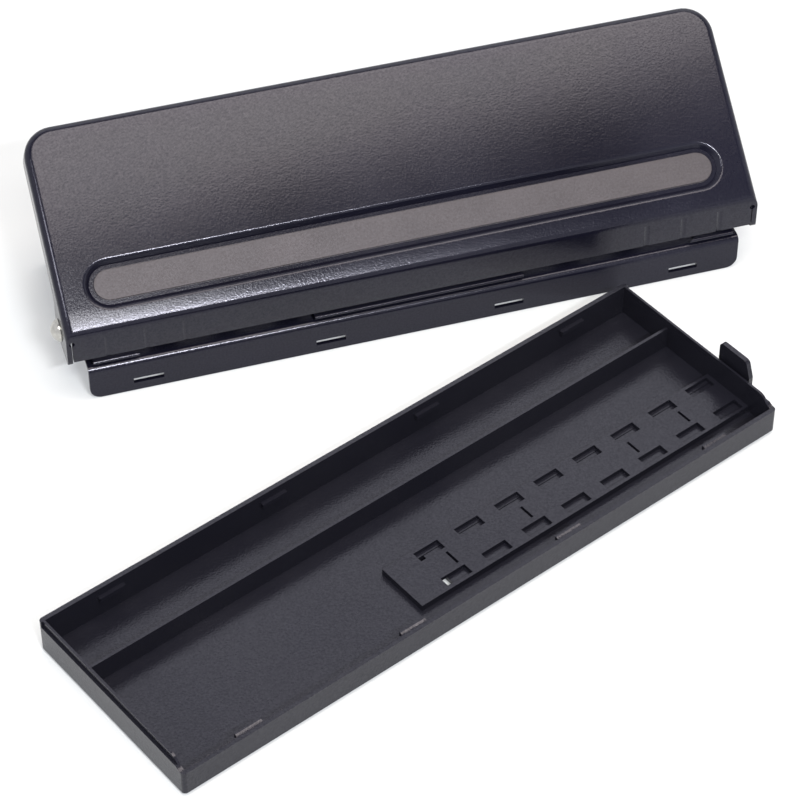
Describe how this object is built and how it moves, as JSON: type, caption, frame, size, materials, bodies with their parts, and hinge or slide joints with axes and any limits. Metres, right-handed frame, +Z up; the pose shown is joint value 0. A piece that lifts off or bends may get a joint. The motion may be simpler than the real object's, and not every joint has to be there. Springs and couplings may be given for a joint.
{
  "type": "desk hole punch",
  "caption": "Hand-lever desk punch in pressed steel for ring-binder holes, with sprung pins, an unclipped chip tray and a sliding paper guide.",
  "frame": {"origin": "on the table, under the middle of the front flange of the punch's base, at half the sheet's thickness", "axes": "+X along the punch to its right end, +Y from the paper side to the rear, +Z up; the loose tray lies at lower Y"},
  "size_m": [0.2416, 0.2101, 0.0604],
  "materials": {
    "black_paint": "satin black paint with a fine grain",
    "steel": "ground steel",
    "bright_steel": "bright plated rivets",
    "black_plastic": "semi-gloss moulded black plastic"
  },
  "bodies": {
    "base": {"base_frame": "black_paint", "throat_plate": "black_paint", "guide_block_left": "steel", "guide_block_right": "steel", "die_plate_left": "steel", "die_plate_right": "steel", "side_cheek_left": "black_paint", "side_cheek_right": "black_paint", "pivot_rivet_left": "bright_steel", "pivot_rivet_right": "bright_steel", "pivot_bush_left": "steel", "pivot_bush_right": "steel", "frame_rivets": "bright_steel", "block_rivets": "bright_steel", "die_rivets": "bright_steel", "pin_spring_1": "steel", "pin_spring_2": "steel", "pin_spring_3": "steel", "pin_spring_4": "steel", "pin_spring_5": "steel", "pin_spring_6": "steel"},
    "lever": {"lever_cover": "black_paint", "press_bar": "steel"},
    "pin_1": {"punch_pin_1": "steel"},
    "pin_2": {"punch_pin_2": "steel"},
    "pin_3": {"punch_pin_3": "steel"},
    "pin_4": {"punch_pin_4": "steel"},
    "pin_5": {"punch_pin_5": "steel"},
    "pin_6": {"punch_pin_6": "steel"},
    "tray": {"chip_tray": "black_plastic"},
    "guide": {"paper_guide": "black_plastic"}
  },
  "joints": [
    {"name": "lever_hinge", "type": "hinge", "parent": "base", "child": "lever", "pos_m": [0, 0.0104, 0.019], "axis": [-1, 0, 0], "range_deg": [0, 24], "stiffness_Nm_per_rad": 0.6, "springref_deg": -20.05},
    {"name": "pin_1_slide", "type": "slide", "parent": "base", "child": "pin_1", "axis": [0, 0, -1], "range_m": [0, 0.0058], "stiffness_N_per_m": 600, "springref_m": -0.004, "deforming": ["pin_spring_1"]},
    {"name": "pin_2_slide", "type": "slide", "parent": "base", "child": "pin_2", "axis": [0, 0, -1], "range_m": [0, 0.0058], "stiffness_N_per_m": 600, "springref_m": -0.004, "deforming": ["pin_spring_2"]},
    {"name": "pin_3_slide", "type": "slide", "parent": "base", "child": "pin_3", "axis": [0, 0, -1], "range_m": [0, 0.0058], "stiffness_N_per_m": 600, "springref_m": -0.004, "deforming": ["pin_spring_3"]},
    {"name": "pin_4_slide", "type": "slide", "parent": "base", "child": "pin_4", "axis": [0, 0, -1], "range_m": [0, 0.0058], "stiffness_N_per_m": 600, "springref_m": -0.004, "deforming": ["pin_spring_4"]},
    {"name": "pin_5_slide", "type": "slide", "parent": "base", "child": "pin_5", "axis": [0, 0, -1], "range_m": [0, 0.0058], "stiffness_N_per_m": 600, "springref_m": -0.004, "deforming": ["pin_spring_5"]},
    {"name": "pin_6_slide", "type": "slide", "parent": "base", "child": "pin_6", "axis": [0, 0, -1], "range_m": [0, 0.0058], "stiffness_N_per_m": 600, "springref_m": -0.004, "deforming": ["pin_spring_6"]},
    {"name": "tray_lift_off", "type": "slide", "parent": "base", "child": "tray", "axis": [0, -1, 0], "range_m": [0, 0.06]},
    {"name": "guide_slide", "type": "slide", "parent": "tray", "child": "guide", "axis": [0.9245, 0.3811, 0], "range_m": [0, 0.095]}
  ],
  "couplings": [
    {"joint": "pin_1_slide", "follows": "lever_hinge", "m_per_rad": 0.013649},
    {"joint": "pin_2_slide", "follows": "lever_hinge", "m_per_rad": 0.013649},
    {"joint": "pin_3_slide", "follows": "lever_hinge", "m_per_rad": 0.013649},
    {"joint": "pin_4_slide", "follows": "lever_hinge", "m_per_rad": 0.013649},
    {"joint": "pin_5_slide", "follows": "lever_hinge", "m_per_rad": 0.013649},
    {"joint": "pin_6_slide", "follows": "lever_hinge", "m_per_rad": 0.013649}
  ]
}
